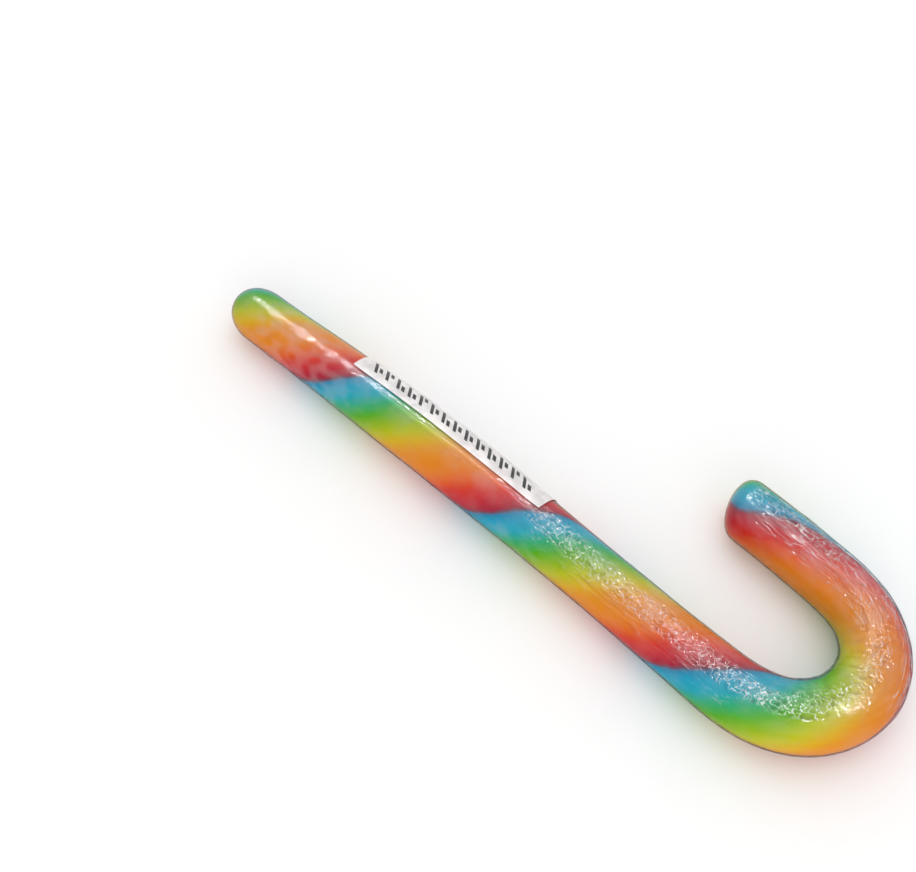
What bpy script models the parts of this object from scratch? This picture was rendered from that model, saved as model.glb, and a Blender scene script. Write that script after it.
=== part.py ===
# A rainbow candy cane, wrapped skin-tight in clear film, lying on its side with a label strip on its shaft.
#
# The frame: the shaft lies along X with the hook at +X, and the hook turns towards +Y.
# The cane rests on Z = 0, and the origin is under the middle of its box.
# Lengths are in metres. A station is a distance along the centre line from the shaft's rounded end,
# and an angle round the stick is measured from its left side (0) over the top (90 degrees).

import math

import bpy
import bmesh
from mathutils import Vector

# Stick: its thickness swells and thins a little, as a hand-rolled stick does.
# Each entry is a station and the stick's radius there.
SWELLS = (
    (0.006, 0.0056),
    (0.053, 0.00635),
    (0.101, 0.0059),
    (0.148, 0.0066),
    (0.172, 0.0059),
    (0.200, 0.0060),
)
FLAT_DEPTH = 0.00025  # how much of the underside is flattened where it rests

# Centre line: shaft, an eased bend into the hook, and the tip leg.
SHAFT_LENGTH = 0.1176
SHAFT_BOW_RADIUS = 1.34  # the shaft bows slightly away from the hook's side
HOOK_EASE_IN = 0.0236
HOOK_RADIUS = 0.0147
HOOK_TURN = math.radians(177.0)
HOOK_EASE_OUT = 0.0143
TIP_LENGTH = 0.0199
TIP_BEND_RADIUS = 0.33

# Ends: the shaft's is a round nose, the hook's is cut blunt and at a slant, with rounded edges.
NOSE_LENGTH = 0.0072
NOSE_POWER = 2.1
BLUNT_LENGTH = 0.0042
BLUNT_POWER = 2.2
END_RINGS = 8
TIP_SLANT = math.radians(13.0)
TIP_SLANT_REACH = 0.012  # how far back from the tip the slant fades out

# Facets.
RING_STEP = 0.002
HEADING_STEPS = 40  # steps of the centre line's turning between two rings
BEVEL_RESOLUTION = 8  # 20 sides
WELD = 0.00001
SHARP_ANGLE = math.radians(40.0)

# Label strip, laid round the shaft over its top and down its hook side.
LABEL_START = 0.033
LABEL_END = 0.081
LABEL_FRONT_ANGLE = math.radians(87.0)
LABEL_BACK_ANGLE = math.radians(-35.0)
LABEL_THICKNESS = 0.0002
LABEL_GAP = 0.0003
LABEL_CELLS_ALONG = 20
LABEL_CELLS_ROUND = 14

CUTTER_MARGIN = 0.02
CUTTER_HEIGHT = 0.01

CANDY_COLOUR = (0.85, 0.33, 0.07, 1.0)
CANDY_ROUGHNESS = 0.25
LABEL_COLOUR = (0.90, 0.86, 0.85, 1.0)
LABEL_ROUGHNESS = 0.45


def ease(t):
    """Rise smoothly from 0 to 1 as t does."""
    t = min(max(t, 0.0), 1.0)
    return t * t * (3.0 - 2.0 * t)


HOOK_STEADY = HOOK_TURN * HOOK_RADIUS - (HOOK_EASE_IN + HOOK_EASE_OUT) / 2.0
HOOK_OUT = SHAFT_LENGTH + HOOK_EASE_IN + HOOK_STEADY
STICK_LENGTH = HOOK_OUT + HOOK_EASE_OUT + TIP_LENGTH


def turning_rate(station):
    """How fast the centre line turns to the left, in radians a metre."""
    into_hook = ease((station - SHAFT_LENGTH) / HOOK_EASE_IN)
    out_of_hook = ease((station - HOOK_OUT) / HOOK_EASE_OUT)
    rate = -(1.0 - into_hook) / SHAFT_BOW_RADIUS
    rate += into_hook * (1.0 - out_of_hook) / HOOK_RADIUS
    return rate + out_of_hook / TIP_BEND_RADIUS


def stick_radius(station):
    """The stick's radius at a station, leaving its rounded ends out."""
    if station <= SWELLS[0][0]:
        return SWELLS[0][1]
    for (start, thin), (end, thick) in zip(SWELLS, SWELLS[1:]):
        if station <= end:
            return thin + (thick - thin) * ease((station - start) / (end - start))
    return SWELLS[-1][1]


def end_factor(station):
    """What the rounded ends leave of the radius: 1 along the stick, near 0 at its two ends."""
    nose = min(station / NOSE_LENGTH, 1.0)
    blunt = min((STICK_LENGTH - station) / BLUNT_LENGTH, 1.0)
    factor = (1.0 - (1.0 - nose) ** NOSE_POWER) ** (1.0 / NOSE_POWER)
    return factor * (1.0 - (1.0 - blunt) ** BLUNT_POWER) ** (1.0 / BLUNT_POWER)


def ring_stations():
    """Stations of the rings: close together at the two ends, and even between them."""
    closing = [1.0 - math.cos(math.pi / 2 * i / END_RINGS) for i in range(1, END_RINGS)]
    nose = [NOSE_LENGTH * share for share in closing]
    blunt = [STICK_LENGTH - BLUNT_LENGTH * share for share in reversed(closing)]
    middle = STICK_LENGTH - NOSE_LENGTH - BLUNT_LENGTH
    cells = round(middle / RING_STEP)
    even = [NOSE_LENGTH + middle * i / cells for i in range(cells + 1)]
    return nose + even + blunt


def walk(stations):
    """The centre line's x, y and heading at each of the stations, which rise."""
    heading = SHAFT_LENGTH / SHAFT_BOW_RADIUS / 2.0  # so that the bowed shaft's ends lie along X
    x = y = at = 0.0
    places = []
    for station in stations:
        step = (station - at) / HEADING_STEPS
        for _ in range(HEADING_STEPS):
            heading += turning_rate(at + step / 2.0) * step
            x += math.cos(heading) * step
            y += math.sin(heading) * step
            at += step
        places.append((x, y, heading))
    return places


def new_material(name, colour, roughness):
    material = bpy.data.materials.new(name)
    material.use_nodes = True
    shader = material.node_tree.nodes["Principled BSDF"]
    shader.inputs["Base Color"].default_value = colour
    shader.inputs["Roughness"].default_value = roughness
    shader.inputs["Metallic"].default_value = 0.0
    return material


def new_collection(name):
    collection = bpy.data.collections.new(name)
    bpy.context.scene.collection.children.link(collection)
    return collection


def move_to(collection, obj):
    for old in list(obj.users_collection):
        old.objects.unlink(obj)
    collection.objects.link(obj)


def slant_tip(vertices):
    """Let the tip's outer side reach further than the side that faces the shaft."""
    x, y, heading = walk(ring_stations())[-1]
    forward = Vector((math.cos(heading), math.sin(heading), 0.0))
    outward = Vector((math.sin(heading), -math.cos(heading), 0.0))
    for vertex in vertices:
        offset = vertex.co - Vector((x, y, 0.0))
        side = offset.dot(outward)
        behind = -offset.dot(forward)
        if abs(side) < HOOK_RADIUS and behind < TIP_SLANT_REACH:
            vertex.co += forward * side * math.tan(TIP_SLANT) * (1.0 - ease(behind / TIP_SLANT_REACH))


def make_stick(collection):
    """The candy as a swept tube of varying radius, made a mesh so that its underside can be cut."""
    stations = ring_stations()
    curve = bpy.data.curves.new("stick_path", "CURVE")
    curve.dimensions = "3D"
    curve.twist_mode = "Z_UP"
    curve.bevel_depth = 1.0
    curve.bevel_resolution = BEVEL_RESOLUTION
    curve.use_fill_caps = True
    spline = curve.splines.new("POLY")
    spline.points.add(len(stations) - 1)
    for point, station, (x, y, _) in zip(spline.points, stations, walk(stations)):
        point.co = (x, y, stick_radius(station) - FLAT_DEPTH, 1.0)
        point.radius = stick_radius(station) * end_factor(station)
    path = bpy.data.objects.new("stick_path", curve)
    collection.objects.link(path)
    depsgraph = bpy.context.evaluated_depsgraph_get()
    mesh = bpy.data.meshes.new_from_object(path.evaluated_get(depsgraph))
    stick = bpy.data.objects.new("candy_cane", mesh)
    stick.matrix_world = path.matrix_world
    collection.objects.link(stick)
    bpy.data.objects.remove(path)

    welded = bmesh.new()
    welded.from_mesh(mesh)
    bmesh.ops.remove_doubles(welded, verts=welded.verts, dist=WELD)
    bmesh.ops.recalc_face_normals(welded, faces=welded.faces)
    slant_tip(welded.verts)
    welded.to_mesh(mesh)
    welded.free()
    mesh.shade_smooth()
    mesh.set_sharp_from_angle(angle=SHARP_ANGLE)
    return stick


def plan_box(obj):
    """The lowest and highest x and y of an object."""
    low = [min(corner[i] for corner in obj.bound_box) for i in range(2)]
    high = [max(corner[i] for corner in obj.bound_box) for i in range(2)]
    return low, high


def make_underside_cutter(collection, stick):
    """A slab under Z = 0, which flattens the stick's underside."""
    low, high = plan_box(stick)
    bpy.ops.mesh.primitive_cube_add(size=1.0)
    cutter = bpy.context.object
    cutter.name = "underside_cutter"
    cutter.scale = (
        high[0] - low[0] + 2.0 * CUTTER_MARGIN,
        high[1] - low[1] + 2.0 * CUTTER_MARGIN,
        CUTTER_HEIGHT,
    )
    cutter.location = ((high[0] + low[0]) / 2.0, (high[1] + low[1]) / 2.0, -CUTTER_HEIGHT / 2.0)
    cutter.display_type = "WIRE"
    cutter.hide_render = True
    move_to(collection, cutter)
    return cutter


def make_label(collection):
    """A thin strip that follows the shaft's surface, with a small gap under it."""
    bpy.ops.mesh.primitive_grid_add(
        x_subdivisions=LABEL_CELLS_ALONG,
        y_subdivisions=LABEL_CELLS_ROUND,
        size=1.0,
    )
    label = bpy.context.object
    label.name = "label_strip"
    vertices = sorted(label.data.vertices, key=lambda vertex: vertex.co.x)
    stations = [LABEL_START + (LABEL_END - LABEL_START) * (vertex.co.x + 0.5) for vertex in vertices]
    for vertex, station, (x, y, heading) in zip(vertices, stations, walk(stations)):
        angle = LABEL_FRONT_ANGLE + (LABEL_BACK_ANGLE - LABEL_FRONT_ANGLE) * (vertex.co.y + 0.5)
        radius = stick_radius(station)
        reach = (radius + LABEL_GAP) * math.cos(angle)
        rise = (radius + LABEL_GAP) * math.sin(angle)
        vertex.co = (
            x - math.sin(heading) * reach,
            y + math.cos(heading) * reach,
            radius - FLAT_DEPTH + rise,
        )
    label.data.shade_smooth()
    label.data.set_sharp_from_angle(angle=SHARP_ANGLE)
    thicken = label.modifiers.new("thickness", "SOLIDIFY")
    thicken.thickness = LABEL_THICKNESS
    thicken.offset = 1.0
    move_to(collection, label)
    return label


def main():
    for obj in list(bpy.data.objects):
        bpy.data.objects.remove(obj)
    parts = new_collection("candy cane")
    cutters = new_collection("cutters")

    stick = make_stick(parts)
    cut = stick.modifiers.new("flat underside", "BOOLEAN")
    cut.operation = "DIFFERENCE"
    cut.solver = "EXACT"
    cut.object = make_underside_cutter(cutters, stick)
    stick.data.materials.append(new_material("candy", CANDY_COLOUR, CANDY_ROUGHNESS))

    label = make_label(parts)
    label.data.materials.append(new_material("label", LABEL_COLOUR, LABEL_ROUGHNESS))

    # The pieces were made from the shaft's end.
    # The empty that carries them puts the middle of the stick's box over the origin.
    carrier = bpy.data.objects.new("cane_carrier", None)
    parts.objects.link(carrier)
    low, high = plan_box(stick)
    middle = [(low[i] + high[i]) / 2.0 for i in range(2)]
    for piece in (stick, label, cut.object):
        piece.parent = carrier
    carrier.location = (-middle[0], -middle[1], 0.0)


main()
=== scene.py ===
import math

import bpy
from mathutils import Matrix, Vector


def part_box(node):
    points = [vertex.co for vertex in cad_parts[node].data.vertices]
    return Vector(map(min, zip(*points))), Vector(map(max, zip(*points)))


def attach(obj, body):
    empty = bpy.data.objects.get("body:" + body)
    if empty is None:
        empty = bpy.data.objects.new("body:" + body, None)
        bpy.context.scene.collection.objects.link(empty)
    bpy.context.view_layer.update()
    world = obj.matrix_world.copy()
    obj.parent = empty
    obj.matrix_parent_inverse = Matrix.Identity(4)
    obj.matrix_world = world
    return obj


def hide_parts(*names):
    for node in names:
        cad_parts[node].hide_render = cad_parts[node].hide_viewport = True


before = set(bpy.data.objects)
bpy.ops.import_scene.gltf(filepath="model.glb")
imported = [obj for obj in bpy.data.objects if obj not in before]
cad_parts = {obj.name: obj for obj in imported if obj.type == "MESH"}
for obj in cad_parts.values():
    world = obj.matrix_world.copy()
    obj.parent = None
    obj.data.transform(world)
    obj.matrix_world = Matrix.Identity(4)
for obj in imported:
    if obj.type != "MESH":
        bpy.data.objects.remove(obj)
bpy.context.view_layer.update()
print("frame loaded:", sorted(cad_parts))

# the stick's sizes, as the part has them: a place along it is metres from the shaft's round end
cane = dict(
    swells=(
        (0.006, 0.0056), (0.053, 0.00635), (0.101, 0.0059),
        (0.148, 0.0066), (0.172, 0.0059), (0.200, 0.0060),
    ),
    flat=0.00025,  # how much of the underside is flattened
    shaft=0.1176,
    bow=1.34,
    easeIn=0.0236,
    hook=0.0147,
    hookTurn=math.radians(177.0),
    easeOut=0.0143,
    tip=0.0199,
    tipBend=0.33,
    noseLength=0.0072,
    nosePower=2.1,
    bluntLength=0.0042,
    bluntPower=2.2,
    slant=math.radians(13.0),
    slantReach=0.012,
    girth=0.006,  # the straight stick's radius, before the rail's swells
)
hookStart = cane["shaft"]
hookEnd = hookStart + (cane["easeIn"] - cane["easeOut"]) / 2 + cane["hookTurn"] * cane["hook"]
caneLength = hookEnd + cane["easeOut"] + cane["tip"]
straightHeight = cane["girth"] - cane["flat"]  # the straight stick's middle, over the floor


def ease(t):
    t = min(max(t, 0.0), 1.0)
    return t * t * (3.0 - 2.0 * t)


def between(at, low, high, soft):
    # 1 from low to high, easing to 0 over the soft stretch on either side
    return ease((at - low) / soft + 1.0) * ease((high - at) / soft + 1.0)


def facing(around, middle, half, soft):
    # the same for degrees round the stick: 0 is its left side, 90 its top
    away = abs((around - middle + 180.0) % 360.0 - 180.0)
    return ease((half - away) / soft + 1.0)


def turningAt(at):
    intoHook = ease((at - hookStart) / cane["easeIn"])
    outOfHook = ease((at - hookEnd) / cane["easeOut"])
    rate = (intoHook - 1.0) / cane["bow"] + intoHook * (1.0 - outOfHook) / cane["hook"]
    return rate + outOfHook / cane["tipBend"]


def radiusAt(at):
    swells = cane["swells"]
    for (start, thin), (end, thick) in zip(swells, swells[1:]):
        if at <= end:
            return thin + (thick - thin) * ease((at - start) / (end - start))
    return swells[-1][1]


def middleLine(step=0.0005):
    # x, y, heading and place along the line, from one end to the other
    count = round(caneLength / step)
    step = caneLength / count
    heading = cane["shaft"] / cane["bow"] / 2
    x = y = 0.0
    line = [(x, y, heading, 0.0)]
    for i in range(count):
        heading += turningAt((i + 0.5) * step) * step
        x += math.cos(heading) * step
        y += math.sin(heading) * step
        line.append((x, y, heading, (i + 1) * step))
    return line


def railOffset(line):
    # the CAD box's middle, less the middle of the box round the line and the stick's width
    low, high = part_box("candy_cane")
    sides = [(p, side * radiusAt(p[3])) for p in line if p[3] > cane["noseLength"] for side in (-1, 1)]
    xs = [p[0] - math.sin(p[2]) * reach for p, reach in sides] + [0.0]
    ys = [p[1] + math.cos(p[2]) * reach for p, reach in sides]
    return (low[0] + high[0] - min(xs) - max(xs)) / 2, (low[1] + high[1] - min(ys) - max(ys)) / 2


# the pieces are modelled straight, then bent along this rail, which also thins and swells them
def makeRail():
    line = middleLine()
    dx, dy = railOffset(line)
    data = bpy.data.curves.new("bendRail", "CURVE")
    data.dimensions = "2D"
    data.use_radius = True
    spline = data.splines.new("POLY")
    spline.points.add(len(line) - 1)
    for point, (x, y, heading, at) in zip(spline.points, line):
        point.co = (x + dx, y + dy, 0.0, 1.0)
        point.radius = radiusAt(at) / cane["girth"]
    piece = bpy.data.objects.new("bendRail", data)
    bpy.context.collection.objects.link(piece)
    return piece


def selectOnly(piece):
    if bpy.context.object and bpy.context.object.mode != "OBJECT":
        bpy.ops.object.mode_set(mode="OBJECT")
    bpy.ops.object.select_all(action="DESELECT")
    piece.select_set(True)
    bpy.context.view_layer.objects.active = piece


def applyAll(piece):
    selectOnly(piece)
    for modifier in list(piece.modifiers):
        bpy.ops.object.modifier_apply(modifier=modifier.name)


def bendPiece(piece, rail):
    bend = piece.modifiers.new("bend", "CURVE")
    bend.object = rail
    bend.deform_axis = "POS_X"
    applyAll(piece)


# how the colours wind: turns of twist from the shaft's round end, slowing through the hook
winding = dict(shaftRate=22.5, tipRate=8.0, slowFrom=0.118, slowOver=0.075, start=-0.07,
               tipTurn=0.08, tipTurnFrom=0.182, tipTurnOver=0.019)


def twistAt(at):
    x = min(max((at - winding["slowFrom"]) / winding["slowOver"], 0.0), 1.0)
    after = max(at - winding["slowFrom"] - winding["slowOver"], 0.0)
    slowed = (x ** 3 - x ** 4 / 2) * winding["slowOver"] + after
    slowing = winding["shaftRate"] - winding["tipRate"]
    turns = winding["start"] + winding["shaftRate"] * at - slowing * slowed
    return turns + winding["tipTurn"] * ease((at - winding["tipTurnFrom"]) / winding["tipTurnOver"])


def keepValues(piece, name, kind, values):
    layer = piece.data.attributes.new(name, kind, "POINT")
    layer.data.foreach_set("vector" if kind == "FLOAT_VECTOR" else "value", values)


def straightSpots(piece):
    # each point's place along the stick, and where it is from the stick's middle
    return [(v.co.x, v.co.y, v.co.z - straightHeight) for v in piece.data.vertices]


def degreesRound(y, z):
    return math.degrees(math.atan2(z, y)) % 360.0


def keepStraight(piece):
    # patterns follow the stick by these, after it is bent
    spots = straightSpots(piece)
    keepValues(piece, "straight", "FLOAT_VECTOR", [c for spot in spots for c in spot])
    keepValues(piece, "twist", "FLOAT", [twistAt(spot[0]) for spot in spots])


def keepZones(piece, zones):
    # each zone is kept twice: as a vertex group for modifiers, and as values for materials
    spots = straightSpots(piece)
    for name, zone in zones.items():
        weights = [zone(x, degreesRound(y, z)) for x, y, z in spots]
        group = piece.vertex_groups.new(name=name + "Group")
        for index, weight in enumerate(weights):
            if weight > 0.01:
                group.add([index], weight, "REPLACE")
        keepValues(piece, name, "FLOAT", weights)


def makeTube(name, radius, sides, start, end, cuts):
    # an open tube along X, over the floor as the straight stick is; ends in edit mode
    bpy.ops.object.select_all(action="DESELECT")
    bpy.ops.mesh.primitive_cylinder_add(
        vertices=sides, radius=radius, depth=end - start, end_fill_type="NOTHING",
        location=((start + end) / 2, 0.0, straightHeight), rotation=(0.0, math.radians(90.0), 0.0))
    piece = bpy.context.object
    piece.name = name
    bpy.ops.object.transform_apply(location=True, rotation=True, scale=True)
    for count in cuts:
        selectEdges(piece, lambda a, b: abs(a.x - b.x) > 1e-6)
        bpy.ops.mesh.subdivide(number_cuts=count)
    return piece


def selectEdges(piece, wanted):
    bpy.ops.object.mode_set(mode="EDIT")
    bpy.ops.mesh.select_mode(type="EDGE")
    bpy.ops.mesh.select_all(action="DESELECT")
    bpy.ops.object.mode_set(mode="OBJECT")
    points = piece.data.vertices
    for edge in piece.data.edges:
        edge.select = wanted(points[edge.vertices[0]].co, points[edge.vertices[1]].co)
    bpy.ops.object.mode_set(mode="EDIT")


def closeEnd(piece, endX, reach, power, steps=14):
    # rounds an open end off: rings drawn in along a superellipse, and the last one merged to a point
    selectEdges(piece, lambda a, b: abs(a.x - endX) < 1e-5 and abs(b.x - endX) < 1e-5)
    along, size = 0.0, 1.0
    for i in range(1, steps):
        nextAlong = math.sin(math.pi / 2 * i / steps)
        nextSize = (1.0 - nextAlong ** power) ** (1.0 / power)
        bpy.ops.mesh.extrude_region_move(
            TRANSFORM_OT_translate={"value": (reach * (nextAlong - along), 0.0, 0.0)})
        drawn = nextSize / size
        bpy.ops.transform.resize(value=(1.0, drawn, drawn), center_override=(0.0, 0.0, straightHeight))
        along, size = nextAlong, nextSize
    bpy.ops.mesh.extrude_region_move(TRANSFORM_OT_translate={"value": (reach * (1.0 - along), 0.0, 0.0)})
    bpy.ops.mesh.merge(type="CENTER")


def makeStraightStick(name, radius, sides, cuts, endGap):
    start = cane["noseLength"]
    end = caneLength - cane["bluntLength"]
    piece = makeTube(name, radius, sides, start, end, cuts)
    closeEnd(piece, start, endGap - cane["noseLength"], cane["nosePower"])
    closeEnd(piece, end, cane["bluntLength"] - endGap, cane["bluntPower"])
    bpy.ops.mesh.select_all(action="SELECT")
    bpy.ops.mesh.normals_make_consistent(inside=False)
    bpy.ops.object.mode_set(mode="OBJECT")
    return piece


def slantTip(piece):
    # the tip's outer side reaches further than the side that faces the shaft
    for vertex in piece.data.vertices:
        behind = caneLength - vertex.co.x
        if behind < cane["slantReach"]:
            vertex.co.x -= vertex.co.y * math.tan(cane["slant"]) * (1.0 - ease(behind / cane["slantReach"]))


def flatten(piece, low):
    for vertex in piece.data.vertices:
        vertex.co.z = max(vertex.co.z, low)


def pushOut(piece, name, strength, zone="", basis=None, size=0.0, stretch=(1.0, 1.0, 1.0), creased=False):
    # a Displace along the normals, by a cloud texture or evenly, all over or in one zone
    push = piece.modifiers.new(name, "DISPLACE")
    push.direction = "NORMAL"
    push.strength = strength
    push.vertex_group = zone + "Group" if zone else ""
    push.mid_level = 0.5 if basis else 0.0
    guide = texture = None
    if basis:
        texture = bpy.data.textures.new(name, "CLOUDS")
        texture.noise_basis = basis
        texture.noise_scale = 1.0
        texture.noise_depth = 1
        texture.noise_type = "HARD_NOISE" if creased else "SOFT_NOISE"
        guide = bpy.data.objects.new(name + "Guide", None)
        bpy.context.collection.objects.link(guide)
        guide.scale = tuple(size * s for s in stretch)
        bpy.context.view_layer.update()
        push.texture = texture
        push.texture_coords = "OBJECT"
        push.texture_coords_object = guide
    selectOnly(piece)
    bpy.ops.object.modifier_apply(modifier=push.name)
    if basis:
        bpy.data.objects.remove(guide)
        bpy.data.textures.remove(texture)


def rollUnevenly(piece):
    # hand-rolled sugar is never quite round: the film takes the same lumps
    pushOut(piece, "roll", 0.00022, basis="BLENDER_ORIGINAL", size=0.010, stretch=(1.6, 1.0, 1.0))


def newMaterial(name):
    material = bpy.data.materials.new(name)
    material.use_nodes = True
    tree = material.node_tree
    return material, tree, tree.nodes["Principled BSDF"]


def addNode(tree, kind, inputs=None, **settings):
    node = tree.nodes.new("ShaderNode" + kind)
    for key, value in settings.items():
        setattr(node, key, value)
    for key, value in (inputs or {}).items():
        if isinstance(value, bpy.types.NodeSocket):
            tree.links.new(value, node.inputs[key])
        else:
            node.inputs[key].default_value = value
    return node


def maths(tree, operation, a, b=0.0, clamp=False):
    return addNode(tree, "Math", {0: a, 1: b}, operation=operation, use_clamp=clamp).outputs[0]


def attribute(tree, name, output="Fac"):
    return addNode(tree, "Attribute", attribute_name=name).outputs[output]


def noise(tree, place, scale, detail=2.0, roughness=0.5, stretch=(1.0, 1.0, 1.0)):
    spot = addNode(tree, "Mapping", {"Vector": place, "Scale": tuple(scale * s for s in stretch)}).outputs[0]
    return addNode(tree, "TexNoise", {"Vector": spot, "Scale": 1.0, "Detail": detail,
                                      "Roughness": roughness}).outputs["Fac"]


def rise(tree, value, low, high, bottom=0.0, top=1.0):
    # a smooth step from bottom to top as the value goes from low to high
    node = addNode(tree, "MapRange", {"Value": value, "From Min": low, "From Max": high,
                                      "To Min": bottom, "To Max": top}, interpolation_type="SMOOTHSTEP")
    return node.outputs[0]


def mixColours(tree, factor, first, second):
    node = addNode(tree, "MixRGB", {"Fac": factor, "Color1": first, "Color2": second})
    return node.outputs[0]


def tone(red, green, blue):
    # a colour as it is seen on screen, 0 to 255, made the light value that shaders take
    channels = [c / 255.0 for c in (red, green, blue)]
    return tuple(c / 12.92 if c <= 0.04045 else ((c + 0.055) / 1.055) ** 2.4 for c in channels) + (1.0,)


def ramp(tree, value, stops):
    node = addNode(tree, "ValToRGB", {"Fac": value})
    marks = node.color_ramp.elements
    while len(marks) < len(stops):
        marks.new(0.5)
    for mark, (position, colour) in zip(marks, stops):
        mark.position = position
        mark.color = colour
    return node.outputs["Color"]


# one turn of colour round the stick, from one red and blue edge to the next
candyLook = dict(
    colours=(
        (0.000, tone(130, 66, 92)),
        (0.022, tone(30, 150, 190)),
        (0.070, tone(0, 174, 206)),
        (0.143, tone(6, 180, 196)),
        (0.214, tone(36, 184, 124)),
        (0.286, tone(94, 187, 20)),
        (0.357, tone(158, 195, 0)),
        (0.428, tone(201, 202, 0)),
        (0.500, tone(228, 186, 0)),
        (0.571, tone(236, 158, 2)),
        (0.643, tone(238, 148, 6)),
        (0.714, tone(238, 140, 14)),
        (0.786, tone(235, 108, 28)),
        (0.857, tone(224, 49, 30)),
        (0.928, tone(208, 26, 50)),
        (0.985, tone(180, 28, 60)),
        (1.000, tone(130, 66, 92)),
    ),
    drift=0.050,  # how far the stripes' edges wander, in turns
    threads=0.030,
    milk=0.05,
    milkTone=tone(250, 236, 216),
)


def makeCandyMaterial():
    material, tree, shader = newMaterial("rainbowSugar")
    straight = attribute(tree, "straight", "Vector")
    parts = addNode(tree, "SeparateXYZ", {0: straight})
    angle = maths(tree, "DIVIDE", maths(tree, "ARCTAN2", parts.outputs["Z"], parts.outputs["Y"]), 2 * math.pi)
    # the edges between colours wander, and run in fine pulled threads
    drift = maths(tree, "SUBTRACT", noise(tree, straight, 130.0), 0.5)
    threads = maths(tree, "SUBTRACT", noise(tree, straight, 420.0, 4.0, 0.6, (0.25, 1.0, 1.0)), 0.5)
    turn = maths(tree, "ADD", attribute(tree, "twist"), angle)
    turn = maths(tree, "ADD", turn, maths(tree, "MULTIPLY", drift, candyLook["drift"]))
    turn = maths(tree, "ADD", turn, maths(tree, "MULTIPLY", threads, candyLook["threads"]))
    colour = ramp(tree, maths(tree, "FRACT", turn), candyLook["colours"])
    # paler, airier clouds in the sugar
    cloud = noise(tree, straight, 240.0, 5.0, 0.6)
    milk = rise(tree, cloud, 0.45, 0.75, 0.0, candyLook["milk"])
    milky = mixColours(tree, milk, colour, candyLook["milkTone"])
    tree.links.new(milky, shader.inputs["Base Color"])
    tree.links.new(rise(tree, cloud, 0.3, 0.7, 0.28, 0.42), shader.inputs["Roughness"])
    grain = addNode(tree, "Bump", {"Height": cloud, "Strength": 0.2, "Distance": 0.0004})
    tree.links.new(grain.outputs[0], shader.inputs["Normal"])
    shader.inputs["Specular IOR Level"].default_value = 0.05  # the film over it does the shining
    shader.inputs["Subsurface Weight"].default_value = 0.10
    shader.inputs["Subsurface Radius"].default_value = (0.002, 0.0015, 0.001)
    shader.inputs["Subsurface Scale"].default_value = 1.0
    return material


# the sweet itself
stickShape = dict(radius=0.00580, sides=72, cuts=(14, 19), endGap=0.00020, low=0.00018)


def makeCandy(rail):
    piece = makeStraightStick("candy_stick", stickShape["radius"], stickShape["sides"], stickShape["cuts"],
                              stickShape["endGap"])
    keepStraight(piece)
    rollUnevenly(piece)
    slantTip(piece)
    flatten(piece, stickShape["low"])
    bendPiece(piece, rail)
    bpy.ops.object.shade_smooth()
    piece.data.materials.append(makeCandyMaterial())
    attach(piece, "root")
    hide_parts("candy_cane")
    print("candy stick made:", len(piece.data.polygons), "faces")


# the clear film, shrunk on, and the zones where it crinkles, creases or holds air, and where a paler top
# sheen and glints are painted
filmShape = dict(
    radius=0.00606, sides=144, cuts=(23, 23), low=0.00002,
    seamAngle=99.0, seamWander=2.5, seamFrom=0.044, seamTo=0.104, seamHalf=1.6,
)
labelShape = dict(start=0.033, end=0.081, front=87.5, back=-35.0, radius=0.00622, thickness=0.00011)
# the top veil and the ridge and streak whites here are painted sheen and painted glints
filmLook = dict(
    roughness=0.13, shineIndex=1.28, relief=0.0010,
    evenHaze=0.002, airHaze=0.09, paintedTopSheenHaze=(0.03, 0.085),
    paintedGlintWidth=0.024, paintedGlintWhite=0.68, paintedStreakGlintWidth=0.018, paintedStreakGlintWhite=0.48,
)


def underLabel(at, around):
    half = (labelShape["front"] - labelShape["back"]) / 2
    middle = (labelShape["front"] + labelShape["back"]) / 2
    return between(at, labelShape["start"], labelShape["end"], 0.001) * facing(around, middle, half, 4.0)


def airZone(at, around):
    zone = between(at, 0.013, 0.0335, 0.006) * facing(around, 140.0, 55.0, 30.0)
    zone += 0.7 * between(at, 0.076, 0.084, 0.005) * facing(around, 180.0, 20.0, 15.0)
    return min(zone + 0.18, 1.0) * (1.0 - underLabel(at, around))


def glintZone(at, around):
    zone = between(at, 0.083, 0.097, 0.005) * facing(around, 96.0, 14.0, 14.0)
    zone += 0.55 * between(at, 0.097, 0.124, 0.004) * facing(around, 100.0, 16.0, 12.0)
    zone += between(at, 0.124, 0.140, 0.005) * facing(around, 100.0, 9.0, 14.0)
    zone += 0.8 * between(at, 0.140, 0.158, 0.005) * facing(around, 84.0, 6.0, 16.0)
    zone += 0.3 * between(at, 0.160, 0.178, 0.005) * facing(around, 96.0, 26.0, 20.0)
    zone += between(at, 0.181, 0.196, 0.004) * facing(around, 104.0, 12.0, 14.0)
    return min(zone + 0.08, 1.0) * (1.0 - underLabel(at, around))


def pullZone(at, around):
    zone = between(at, 0.168, 0.192, 0.008) * facing(around, 88.0, 30.0, 18.0)
    zone += between(at, 0.156, 0.186, 0.008) * facing(around, 160.0, 30.0, 20.0)
    zone += 0.5 * between(at, 0.083, 0.128, 0.006) * facing(around, 110.0, 30.0, 20.0)
    return min(zone, 1.0)


def paintedTopSheenZone(at, around):
    # painted sheen: the film's top is painted paler, between the label's edge and the seam's shaded side,
    # where the light falls from above
    return facing(around, 82.0, 22.0, 45.0)


def gatherZone(at, around):
    return between(at, 0.143, 0.162, 0.008) * facing(around, 20.0, 45.0, 25.0)


def seamZone(at, around):
    angle = filmShape["seamAngle"] + filmShape["seamWander"] * math.sin(at * 170.0)
    along = between(at, filmShape["seamFrom"], filmShape["seamTo"], 0.006)
    return along * facing(around, angle, filmShape["seamHalf"], 1.6)


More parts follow.
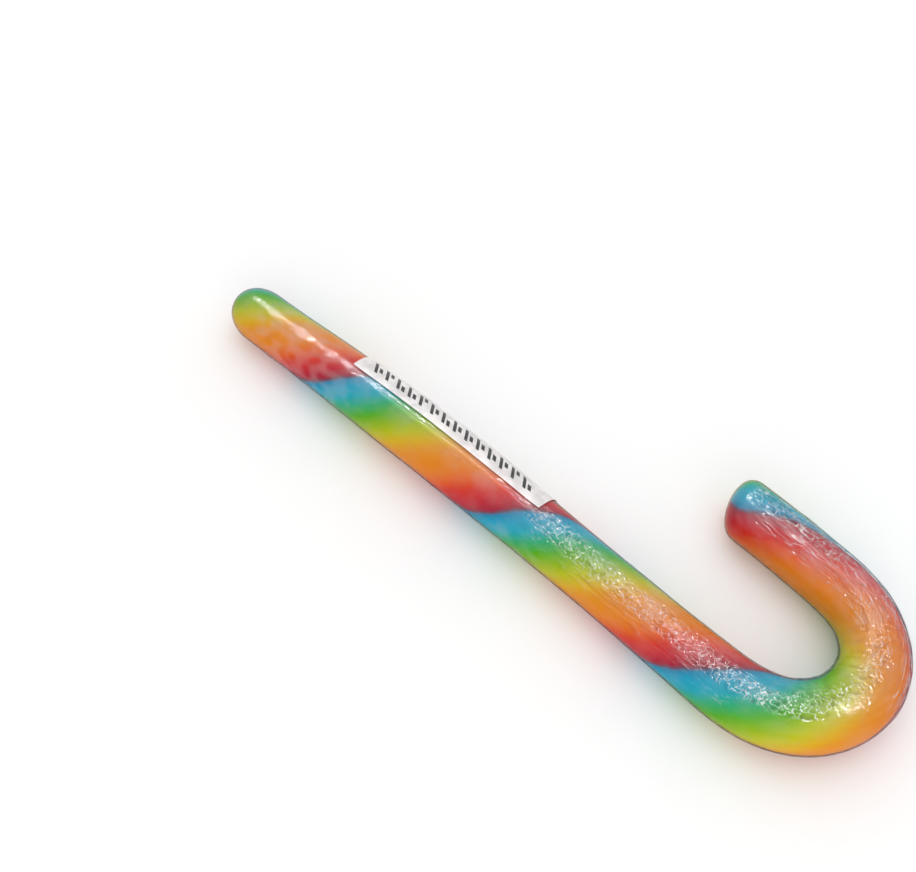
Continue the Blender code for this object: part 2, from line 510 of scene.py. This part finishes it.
def makeFilmMaterial():
    material, tree, shader = newMaterial("clearFilm")
    straight = attribute(tree, "straight", "Vector")
    air = attribute(tree, "air")
    glints = attribute(tree, "glints")
    pulls = attribute(tree, "pulls")
    # relief finer than the mesh: crinkles all over, sharper in the glint zones, drawn out where it is pulled
    worms = maths(tree, "ABSOLUTE", maths(tree, "SUBTRACT", noise(tree, straight, 950.0, 1.0), 0.5))
    streaks = noise(tree, straight, 1500.0, 1.0, 0.5, (0.1, 1.0, 1.0))
    drawn = maths(tree, "ABSOLUTE", maths(tree, "SUBTRACT", streaks, 0.5))
    relief = maths(tree, "MULTIPLY", worms, maths(tree, "ADD", glints, 0.12))
    pulled = maths(tree, "MULTIPLY", drawn, maths(tree, "MULTIPLY", pulls, -0.8))
    relief = maths(tree, "SUBTRACT", pulled, relief)
    bump = addNode(tree, "Bump", {"Height": relief, "Strength": 1.0, "Distance": filmLook["relief"]})
    normal = bump.outputs[0]
    # clear sheet: see-through face on, glossy by its angle, and dark along its turned-away rim
    edge = addNode(tree, "LayerWeight", {"Blend": 0.5}).outputs["Facing"]
    rim = ramp(tree, edge, ((0.86, (1, 1, 1, 1)), (0.98, (0.32, 0.33, 0.37, 1))))
    clear = addNode(tree, "BsdfTransparent", {"Color": rim}).outputs[0]
    gloss = addNode(tree, "BsdfGlossy", {"Roughness": filmLook["roughness"], "Normal": normal}).outputs[0]
    shine = addNode(tree, "Fresnel", {"IOR": filmLook["shineIndex"], "Normal": normal}).outputs[0]
    sheet = addNode(tree, "MixShader", {0: shine, 1: clear, 2: gloss}).outputs[0]
    # where the film stands off the sugar it looks milky; oval spots where it touches stay clear
    spots = addNode(tree, "Mapping", {"Vector": straight, "Scale": (360.0, 520.0, 520.0)}).outputs[0]
    cells = addNode(tree, "TexVoronoi", {"Vector": spots, "Scale": 1.0, "Randomness": 0.9},
                    feature="SMOOTH_F1").outputs["Distance"]
    standOff = maths(tree, "MULTIPLY", rise(tree, cells, 0.25, 0.62), air)
    # painted sheen: a paler white veil painted in patches over the top zone, where the light falls from above
    patches = rise(tree, noise(tree, straight, 170.0, 3.0), 0.42, 0.66)
    paintedTopSheenHaze = rise(tree, patches, 0.0, 1.0, *filmLook["paintedTopSheenHaze"])
    lift = maths(tree, "MULTIPLY", attribute(tree, "paintedTopSheen"), paintedTopSheenHaze)
    hazeAndPaintedHighlights = maths(tree, "ADD", maths(tree, "MULTIPLY", standOff, filmLook["airHaze"]), lift)
    # painted glints: white lines painted along the crease ridges in the glint zones, and along the pulled
    # streaks
    paintedGlintLines = rise(tree, worms, 0.0, filmLook["paintedGlintWidth"], filmLook["paintedGlintWhite"], 0.0)
    paintedGlints = maths(tree, "MULTIPLY", paintedGlintLines, rise(tree, glints, 0.20, 0.95))
    paintedStreakGlintLines = rise(tree, drawn, 0.0, filmLook["paintedStreakGlintWidth"], filmLook["paintedStreakGlintWhite"], 0.0)
    paintedStreakGlints = maths(tree, "MULTIPLY", paintedStreakGlintLines, rise(tree, pulls, 0.2, 0.9))
    hazeAndPaintedHighlights = maths(tree, "ADD", hazeAndPaintedHighlights, maths(tree, "MAXIMUM", paintedGlints, paintedStreakGlints))
    hazeAndPaintedHighlights = maths(tree, "ADD", hazeAndPaintedHighlights, filmLook["evenHaze"], clamp=True)
    # the white veil: milky air haze, with the painted sheen and painted glints
    shader.inputs["Base Color"].default_value = (0.85, 0.85, 0.85, 1.0)
    shader.inputs["Roughness"].default_value = 0.5
    shader.inputs["Specular IOR Level"].default_value = 0.2
    veil = addNode(tree, "MixShader", {0: hazeAndPaintedHighlights, 1: sheet, 2: shader.outputs[0]}).outputs[0]
    tree.links.new(veil, tree.nodes["Material Output"].inputs["Surface"])
    return material


def makeFilm(rail):
    piece = makeStraightStick("clear_film", filmShape["radius"], filmShape["sides"], filmShape["cuts"], 0.0)
    keepStraight(piece)
    keepZones(piece, {"air": airZone, "glints": glintZone, "pulls": pullZone, "gathers": gatherZone,
                      "paintedTopSheen": paintedTopSheenZone, "seam": seamZone})
    rollUnevenly(piece)
    pushOut(piece, "airCells", 0.00026, "air", "VORONOI_F1", 0.0021, (1.5, 1.0, 1.0))
    pushOut(piece, "crinkles", -0.00055, "glints", "IMPROVED_PERLIN", 0.0011, (1.4, 1.0, 1.0), True)
    pushOut(piece, "pulledCreases", -0.00040, "pulls", "IMPROVED_PERLIN", 0.0011, (9.0, 1.0, 1.0), True)
    pushOut(piece, "cornerGathers", -0.00045, "gathers", "IMPROVED_PERLIN", 0.0012, (0.9, 6.0, 6.0), True)
    pushOut(piece, "seamRidge", 0.00018, "seam")
    slantTip(piece)
    flatten(piece, filmShape["low"])
    bendPiece(piece, rail)
    bpy.ops.object.shade_smooth()
    piece.data.materials.append(makeFilmMaterial())
    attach(piece, "root")
    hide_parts("candy_cane")
    print("film made:", len(piece.data.polygons), "faces")


# the label: a strip of white film with a plain row of slanted marks
markRow = dict(start=0.0358, end=0.0772, pitch=0.00296, angle=61.0, half=14.0, slant=-0.00007)


def makeLabelMaterial():
    material, tree, shader = newMaterial("whiteStrip")
    straight = attribute(tree, "straight", "Vector")
    along = addNode(tree, "SeparateXYZ", {0: straight}).outputs["X"]
    degrees = attribute(tree, "degrees")
    # place in the row of marks: which mark, how far through it, and how high on it
    up = maths(tree, "SUBTRACT", degrees, markRow["angle"])
    leaned = maths(tree, "ADD", along, maths(tree, "MULTIPLY", up, markRow["slant"]))
    steps = maths(tree, "DIVIDE", maths(tree, "SUBTRACT", leaned, markRow["start"]), markRow["pitch"])
    which = maths(tree, "FLOOR", steps)
    through = maths(tree, "SUBTRACT", steps, which)
    chance = addNode(tree, "TexWhiteNoise", {"W": which}, noise_dimensions="1D").outputs["Value"]
    tall = maths(tree, "LESS_THAN", maths(tree, "ABSOLUTE", up), markRow["half"])
    # a long bar in each, and a shorter one beside it, high or low by chance
    longBar = maths(tree, "LESS_THAN", maths(tree, "ABSOLUTE", maths(tree, "SUBTRACT", through, 0.28)), 0.13)
    shift = maths(tree, "MULTIPLY", maths(tree, "SUBTRACT", chance, 0.5), 1.2 * markRow["half"])
    shortUp = maths(tree, "ABSOLUTE", maths(tree, "SUBTRACT", up, shift))
    shortTall = maths(tree, "LESS_THAN", shortUp, 0.45 * markRow["half"])
    shortBar = maths(tree, "LESS_THAN", maths(tree, "ABSOLUTE", maths(tree, "SUBTRACT", through, 0.70)), 0.14)
    longInk = maths(tree, "MULTIPLY", longBar, tall)
    ink = maths(tree, "ADD", longInk, maths(tree, "MULTIPLY", shortBar, shortTall))
    inRow = maths(tree, "MULTIPLY", maths(tree, "GREATER_THAN", leaned, markRow["start"]),
                  maths(tree, "LESS_THAN", leaned, markRow["end"]))
    ink = maths(tree, "MULTIPLY", ink, inRow, clamp=True)
    worn = noise(tree, straight, 3000.0, 2.0)
    ink = maths(tree, "MULTIPLY", ink, rise(tree, worn, 0.25, 0.40, 0.75, 1.0))
    cloud = noise(tree, straight, 350.0, 4.0)
    white = mixColours(tree, rise(tree, cloud, 0.35, 0.7), tone(238, 234, 234), tone(250, 246, 245))
    tree.links.new(mixColours(tree, ink, white, tone(26, 24, 28)), shader.inputs["Base Color"])
    shader.inputs["Roughness"].default_value = 0.35
    soft = addNode(tree, "Bump", {"Height": cloud, "Strength": 0.25, "Distance": 0.0003}).outputs[0]
    tree.links.new(soft, shader.inputs["Normal"])
    clear = addNode(tree, "BsdfTransparent").outputs[0]
    solid = maths(tree, "MAXIMUM", rise(tree, cloud, 0.3, 0.7, 0.66, 0.80), ink)
    mixed = addNode(tree, "MixShader", {0: solid, 1: clear, 2: shader.outputs[0]}).outputs[0]
    tree.links.new(mixed, tree.nodes["Material Output"].inputs["Surface"])
    return material


def makeLabel(rail):
    piece = makeTube("label_strip_print", labelShape["radius"], filmShape["sides"],
                     labelShape["start"], labelShape["end"], (11, 11))
    bpy.ops.mesh.select_mode(type="FACE")
    bpy.ops.mesh.select_all(action="DESELECT")
    bpy.ops.object.mode_set(mode="OBJECT")
    half = (labelShape["front"] - labelShape["back"]) / 2
    middle = (labelShape["front"] + labelShape["back"]) / 2
    for face in piece.data.polygons:
        around = degreesRound(face.center.y, face.center.z - straightHeight)
        face.select = abs((around - middle + 180.0) % 360.0 - 180.0) > half
    bpy.ops.object.mode_set(mode="EDIT")
    bpy.ops.mesh.delete(type="FACE")
    bpy.ops.mesh.select_all(action="SELECT")
    bpy.ops.mesh.normals_make_consistent(inside=False)
    bpy.ops.object.mode_set(mode="OBJECT")
    keepStraight(piece)
    keepZones(piece, {
        "corner": lambda at, around: between(at, 0.0808, 0.082, 0.0022) * facing(around, 90.0, 4.0, 12.0),
    })
    keepValues(piece, "degrees", "FLOAT", [(degreesRound(y, z) + 90.0) % 360.0 - 90.0
                                           for x, y, z in straightSpots(piece)])
    rollUnevenly(piece)
    pushOut(piece, "waves", 0.00006, basis="BLENDER_ORIGINAL", size=0.004)
    pushOut(piece, "lift", 0.00022, "corner")
    wall = piece.modifiers.new("wall", "SOLIDIFY")
    wall.thickness = labelShape["thickness"]
    wall.offset = 1.0
    bendPiece(piece, rail)
    bpy.ops.object.shade_smooth_by_angle(angle=math.radians(40.0))
    piece.data.materials.append(makeLabelMaterial())
    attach(piece, "root")
    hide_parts("label_strip")
    print("label made:", len(piece.data.polygons), "faces")


rail = makeRail()
makeCandy(rail)
makeFilm(rail)
makeLabel(rail)
bpy.data.objects.remove(rail)


# floor, light and camera
studio = dict(
    target=(-0.02134, -0.00634, 0.0), around=39.9, above=56.0, distance=0.2636, roll=3.2, lens=51.4,
    floorSize=3.0, floorTone=(0.92, 0.92, 0.92, 1.0), world=0.88,
    keyLean=16.0, keyDistance=0.5, keySize=(1.0, 0.035), keyPower=15.0,
    sheenLean=30.0, sheenDistance=0.9, sheenSize=(1.2, 1.2), sheenPower=1.8,
    frontLean=-62.0, frontDistance=0.8, frontSize=(0.9, 0.5), frontPower=1.6,
)


def addLamp(name, place, size, power):
    data = bpy.data.lights.new(name, "AREA")
    data.shape = "RECTANGLE"
    data.size, data.size_y = size
    data.energy = power
    lamp = bpy.data.objects.new(name, data)
    lamp.location = place
    lamp.rotation_euler = (-place).to_track_quat("-Z", "Y").to_euler()
    bpy.context.collection.objects.link(lamp)
    return lamp


def makeStudio():
    bpy.ops.object.select_all(action="DESELECT")
    bpy.ops.mesh.primitive_plane_add(size=studio["floorSize"], location=(0.0, 0.0, -0.0001))
    floor = bpy.context.object
    floor.name = "floor"
    material, tree, shader = newMaterial("paleFloor")
    shader.inputs["Base Color"].default_value = studio["floorTone"]
    shader.inputs["Roughness"].default_value = 0.9
    shader.inputs["Specular IOR Level"].default_value = 0.1
    floor.data.materials.append(material)
    world = bpy.data.worlds.new("studio")
    bpy.context.scene.world = world
    world.use_nodes = True
    world.node_tree.nodes["Background"].inputs["Color"].default_value = (1.0, 1.0, 1.0, 1.0)
    world.node_tree.nodes["Background"].inputs["Strength"].default_value = studio["world"]

    turn = math.radians(studio["around"])
    toCamera = Vector((math.sin(turn), -math.cos(turn), 0.0))
    up = Vector((0.0, 0.0, 1.0))
    for name in ("sheen", "front"):
        lean = math.radians(studio[name + "Lean"])
        place = (up * math.cos(lean) - toCamera * math.sin(lean)) * studio[name + "Distance"]
        addLamp(name + "Box", place, studio[name + "Size"], studio[name + "Power"])
    # a thin strip over the shaft and along it, just beyond its crest: only the film's creases show it
    lean = math.radians(studio["keyLean"])
    place = Vector((0.0, math.sin(lean), math.cos(lean))) * studio["keyDistance"]
    strip = addLamp("keyStrip", place, studio["keySize"], studio["keyPower"])
    strip.visible_diffuse = False

    camera = bpy.data.objects.new("camera", bpy.data.cameras.new("camera"))
    bpy.context.collection.objects.link(camera)
    lift = math.radians(studio["above"])
    back = toCamera * math.cos(lift) + up * math.sin(lift)
    camera.location = Vector(studio["target"]) + back * studio["distance"]
    camera.rotation_euler = (-back).to_track_quat("-Z", "Y").to_euler()
    camera.rotation_euler.rotate_axis("Z", math.radians(studio["roll"]))
    camera.data.lens = studio["lens"]
    camera.data.sensor_width = 36.0
    camera.data.clip_start = 0.01
    bpy.context.scene.camera = camera
    bpy.context.scene.view_settings.view_transform = "Standard"
    bpy.context.scene.view_settings.look = "None"
    print("studio made")


makeStudio()
